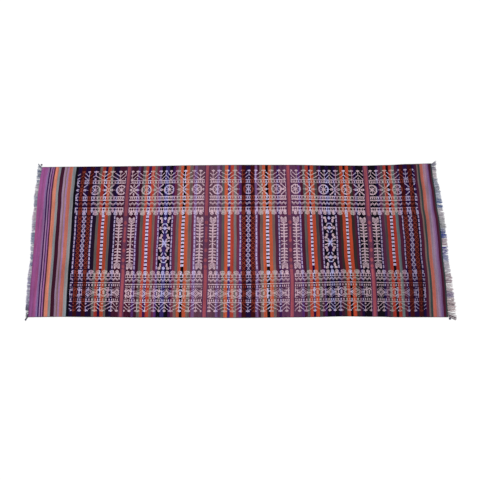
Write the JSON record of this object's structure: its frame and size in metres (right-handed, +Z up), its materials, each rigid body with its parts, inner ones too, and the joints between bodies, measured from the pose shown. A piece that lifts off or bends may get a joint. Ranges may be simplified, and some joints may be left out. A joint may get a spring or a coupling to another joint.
{
  "type": "soumak rug",
  "caption": "Flat woven soumak runner with striped ground, brocaded pattern rows and a short cut fringe at each end.",
  "frame": {"origin": "on the flat underside, at the middle of the woven field", "axes": "+X along the rug, towards the end with the longer fringe; +Y across it, towards the far long edge; +Z up out of the patterned face"},
  "size_m": [2.0472, 0.8238, 0.003],
  "materials": {
    "woven_wool": "flat-woven wool, matte, in narrow cross stripes with raised brocade wefts",
    "warp_fringe": "cut wool warp ends, matte and brushy"
  },
  "bodies": {
    "root": {"rug_field": "woven_wool", "fringe_left": "warp_fringe", "fringe_right": "warp_fringe"}
  },
  "joints": []
}
